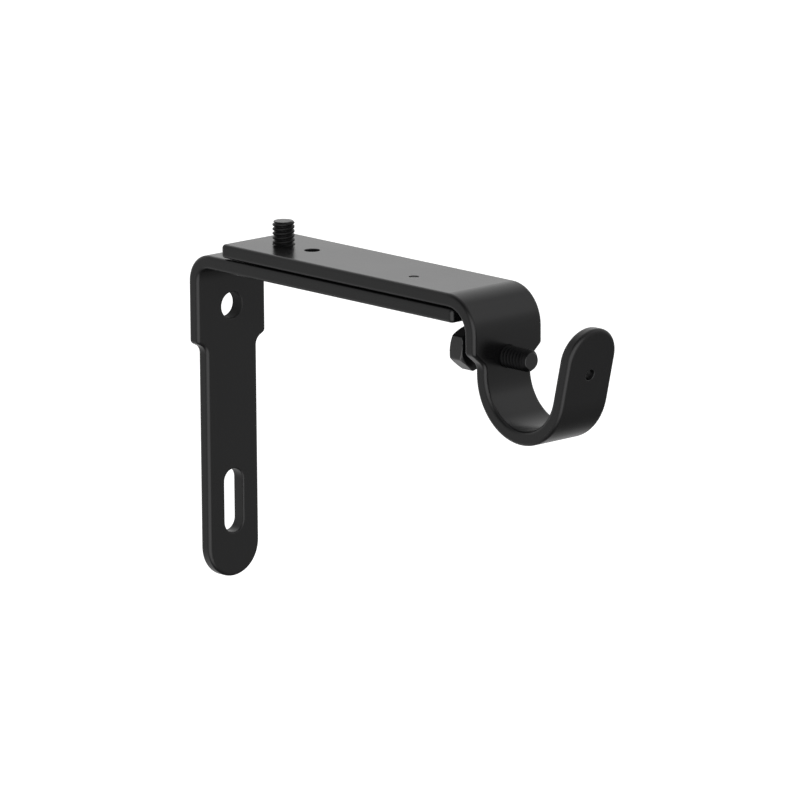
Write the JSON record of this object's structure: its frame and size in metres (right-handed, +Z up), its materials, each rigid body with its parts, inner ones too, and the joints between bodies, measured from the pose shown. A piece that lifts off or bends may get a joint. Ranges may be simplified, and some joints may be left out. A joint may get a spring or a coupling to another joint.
{
  "type": "curtain pole bracket",
  "caption": "Adjustable folded-steel wall bracket with a sliding arm, a J hook for a curtain pole and a screw that locks the pole.",
  "frame": {"origin": "centre of the round screw hole at the plate's wall face", "axes": "+X out from the wall along the arms, +Y along the wall and the pole, +Z up"},
  "size_m": [0.1557, 0.026, 0.1087],
  "materials": {
    "coated_steel": "satin black powder coat",
    "black_screw": "blackened, lightly glossy"
  },
  "bodies": {
    "wall_bracket": {"wall_bracket": "coated_steel"},
    "hook_arm": {"hook_arm": "coated_steel"},
    "clamp_screw": {"clamp_screw": "black_screw"},
    "rod_lock_screw": {"rod_lock_screw": "black_screw"}
  },
  "joints": [
    {"name": "arm_slide", "type": "slide", "parent": "wall_bracket", "child": "hook_arm", "axis": [1, 0, 0], "range_m": [0, 0.05]},
    {"name": "clamp_screw_travel", "type": "slide", "parent": "hook_arm", "child": "clamp_screw", "axis": [0, 0, -1], "range_m": [0, 0.004]},
    {"name": "rod_lock_travel", "type": "slide", "parent": "hook_arm", "child": "rod_lock_screw", "axis": [1, 0, 0], "range_m": [-0.009, 0.0086]}
  ]
}
